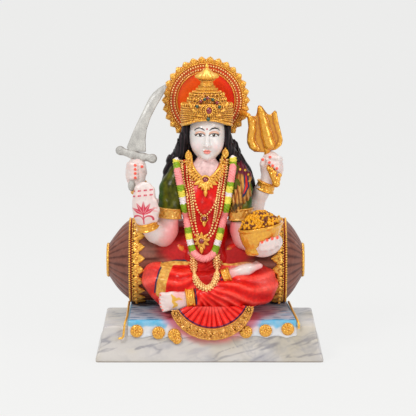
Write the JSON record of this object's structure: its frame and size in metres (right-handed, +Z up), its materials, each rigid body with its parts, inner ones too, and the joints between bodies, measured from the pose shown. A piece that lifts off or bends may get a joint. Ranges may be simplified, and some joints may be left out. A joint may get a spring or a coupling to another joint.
{
  "type": "hindu deity statue",
  "caption": "Painted marble-dust figurine of a seated four-armed goddess with a halo, leaning on a bolster, on a veined marble slab.",
  "frame": {"origin": "centre of the slab's underside", "axes": "+Z up, the figure faces -Y, +X towards the figure's left hand (the bowl side)"},
  "size_m": [0.17, 0.094, 0.2262],
  "materials": {
    "marble": "polished",
    "skin_marble": "gloss",
    "sari_red": "gloss",
    "bolster_maroon": "satin",
    "gilt": "gloss",
    "silver": "gloss",
    "hair_black": "gloss",
    "sleeve_green": "gloss",
    "rug_cream": "satin",
    "halo_orange": "gloss",
    "gem_red": "gloss",
    "garland_mixed": "satin",
    "grain_yellow": "satin"
  },
  "bodies": {
    "root": {"marble_base": "marble", "seat_cushion": "rug_cream", "rug_apron": "rug_cream", "rug_medallions": "gilt", "torso": "sari_red", "head": "skin_marble", "left_leg": "sari_red", "right_leg": "sari_red", "lap_cloth": "sari_red", "left_foot": "skin_marble", "right_foot": "skin_marble", "anklet_left": "gilt", "anklet_right": "gilt", "skirt_pleats": "sari_red", "skirt_hem": "gilt", "bolster": "bolster_maroon", "bolster_end_left": "bolster_maroon", "bolster_end_right": "bolster_maroon", "bolster_cap_left": "gilt", "bolster_cap_right": "gilt", "bolster_braid_left": "gilt", "bolster_braid_right": "gilt", "front_arm_right": "skin_marble", "front_arm_left": "skin_marble", "rear_arm_right": "skin_marble", "rear_arm_left": "skin_marble", "sleeve_right": "sleeve_green", "sleeve_left": "sleeve_green", "sleeve_hem_right": "gilt", "sleeve_hem_left": "gilt", "blessing_hand": "skin_marble", "sword_hand": "skin_marble", "trident_hand": "skin_marble", "bowl_hand": "skin_marble", "bangle_blessing": "gilt", "bangle_trident": "gilt", "bangle_sword": "gilt", "bowl": "gilt", "grain_heap": "grain_yellow", "hair": "hair_black", "crown": "gilt", "crown_gems": "gem_red", "halo_ring": "gilt", "halo_disc": "halo_orange", "halo_beads": "gilt", "sword_blade": "silver", "sword_guard": "silver", "sword_grip": "silver", "trident_head": "gilt", "trident_shaft": "gilt", "trident_stay": "gilt", "shawl": "gilt", "flower_garland": "garland_mixed", "choker": "gilt", "bead_chain_short": "gilt", "bead_chain_long": "gilt", "chain_pendants": "gilt", "waist_chain": "gilt", "earrings": "gilt"}
  },
  "joints": []
}
